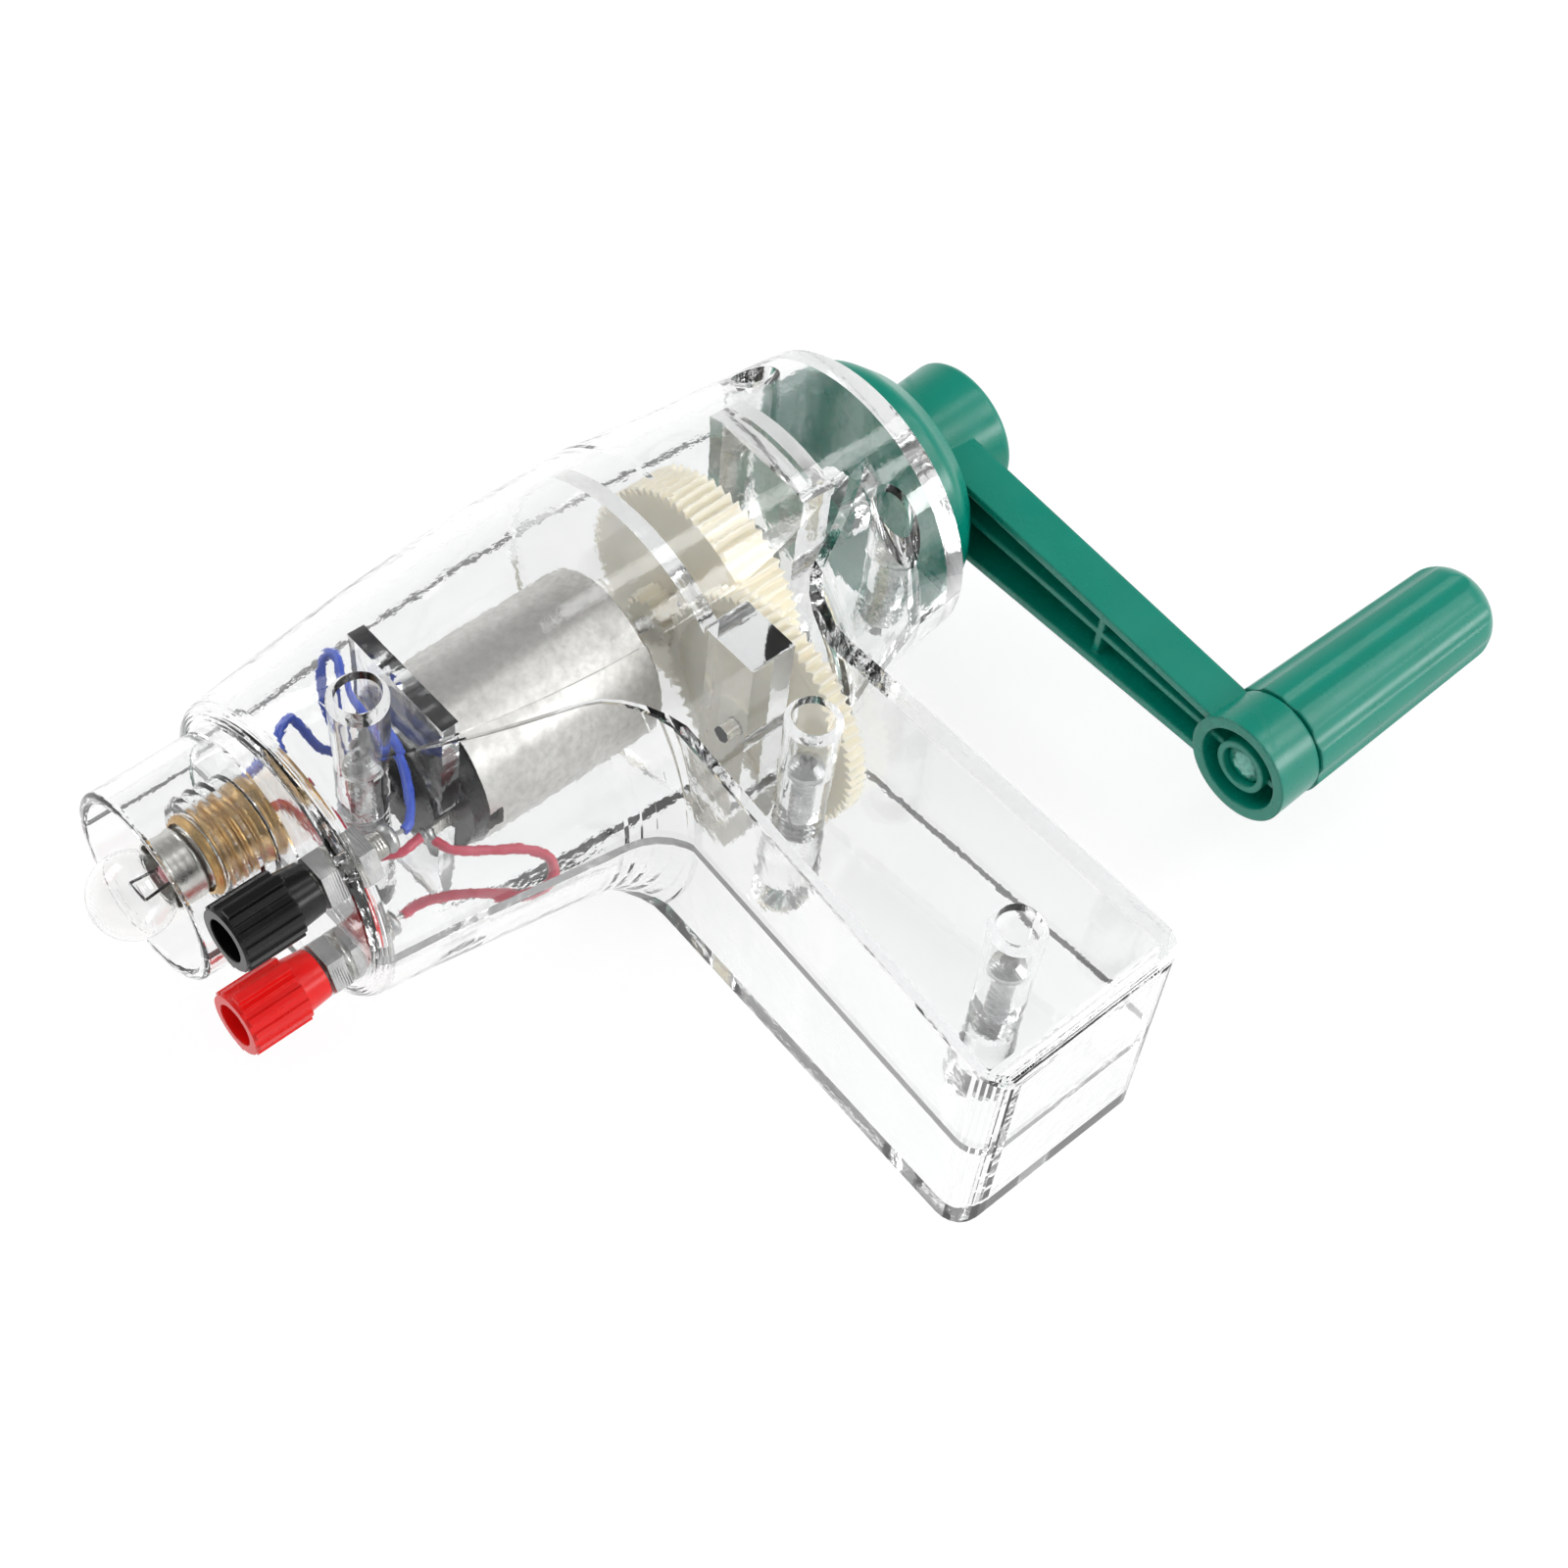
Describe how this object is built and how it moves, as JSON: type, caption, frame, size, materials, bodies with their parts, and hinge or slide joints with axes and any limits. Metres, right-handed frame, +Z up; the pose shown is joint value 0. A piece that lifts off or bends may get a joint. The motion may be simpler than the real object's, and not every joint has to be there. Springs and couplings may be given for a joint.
{
  "type": "hand crank generator",
  "caption": "Hand crank generator in a clear pistol shaped case, with a green crank, cream gears, a small motor, a lamp under a hood and two terminal posts.",
  "frame": {"origin": "middle of the bounding box on the table, below the barrel", "axes": "+X along the barrel from the lamp to the crank, +Y away from the grip, +Z up from the table, with the part lying on its side on the barrel and the grip end"},
  "size_m": [0.174, 0.1124, 0.0501],
  "materials": {
    "clear_plastic": "gloss",
    "green_plastic": "satin",
    "gear_plastic": "satin",
    "black_plastic": "satin",
    "red_plastic": "satin",
    "motor_steel": "satin",
    "bright_steel": "polished",
    "core_steel": "satin",
    "magnet_grey": "matte",
    "brass": "satin",
    "copper": "satin",
    "solder": "satin",
    "lamp_glass": "gloss",
    "lamp_nickel": "satin",
    "lamp_black": "gloss",
    "lamp_red": "gloss",
    "red_lead": "satin",
    "blue_lead": "satin"
  },
  "bodies": {
    "case": {"upper_shell": "clear_plastic", "lower_shell": "clear_plastic", "case_screws": "bright_steel", "saddle_upper": "clear_plastic", "saddle_lower": "clear_plastic", "gear_plate": "clear_plastic", "rear_bracket": "clear_plastic", "motor_can": "motor_steel", "motor_magnets": "magnet_grey", "motor_cap": "black_plastic", "motor_tags": "brass", "idler_axle": "bright_steel", "idler_clip": "bright_steel", "lamp_socket": "clear_plastic", "socket_shell": "brass", "socket_contact": "brass", "post_studs": "brass", "post_nuts": "bright_steel", "solder_lugs": "brass", "solder_beads": "solder", "red_lead": "red_lead", "blue_lead": "blue_lead", "red_lamp_lead": "red_lead", "blue_lamp_lead": "blue_lead"},
    "rotor": {"rotor_shaft": "bright_steel", "rotor_core": "core_steel", "rotor_windings": "copper", "commutator": "copper", "motor_pinion": "gear_plastic"},
    "idler": {"idler_gear": "gear_plastic"},
    "crank_set": {"crank_shaft": "bright_steel", "crank_gear": "gear_plastic", "shaft_clip": "bright_steel", "crank": "green_plastic"},
    "knob_set": {"knob_pin": "green_plastic", "knob": "green_plastic"},
    "lamp": {"lamp_glass": "lamp_glass", "lamp_cap": "lamp_nickel", "lamp_base": "lamp_black", "lamp_bead": "lamp_red", "lamp_wires": "lamp_nickel"},
    "black_post_cap": {"black_cap": "black_plastic", "black_sleeve": "brass"},
    "red_post_cap": {"red_cap": "red_plastic", "red_sleeve": "brass"}
  },
  "joints": [
    {"name": "crank_spin", "type": "hinge", "parent": "case", "child": "crank_set", "pos_m": [0.03524, 0.03124, 0.025], "axis": [1, 0, 0], "continuous": true},
    {"name": "idler_spin", "type": "hinge", "parent": "case", "child": "idler", "pos_m": [0.00023, 0.01109, 0.02308], "axis": [1, 0, 0], "continuous": true},
    {"name": "rotor_spin", "type": "hinge", "parent": "case", "child": "rotor", "pos_m": [-0.02476, 0.03124, 0.025], "axis": [1, 0, 0], "continuous": true},
    {"name": "knob_spin", "type": "hinge", "parent": "crank_set", "child": "knob_set", "pos_m": [0.05523, -0.03396, 0.01877], "axis": [1, 0, 0], "continuous": true},
    {"name": "lamp_turn", "type": "hinge", "parent": "case", "child": "lamp", "pos_m": [-0.07376, 0.03732, 0.02558], "axis": [1, 0, 0], "range_deg": [0, 720]},
    {"name": "black_cap_turn", "type": "hinge", "parent": "case", "child": "black_post_cap", "pos_m": [-0.07476, 0.01889, 0.03336], "axis": [1, 0, 0], "range_deg": [0, 720]},
    {"name": "red_cap_turn", "type": "hinge", "parent": "case", "child": "red_post_cap", "pos_m": [-0.07476, 0.0207, 0.01445], "axis": [1, 0, 0], "range_deg": [0, 720]}
  ],
  "couplings": [
    {"joint": "idler_spin", "follows": "crank_spin", "ratio": -3.7647},
    {"joint": "rotor_spin", "follows": "crank_spin", "ratio": 16.565}
  ]
}
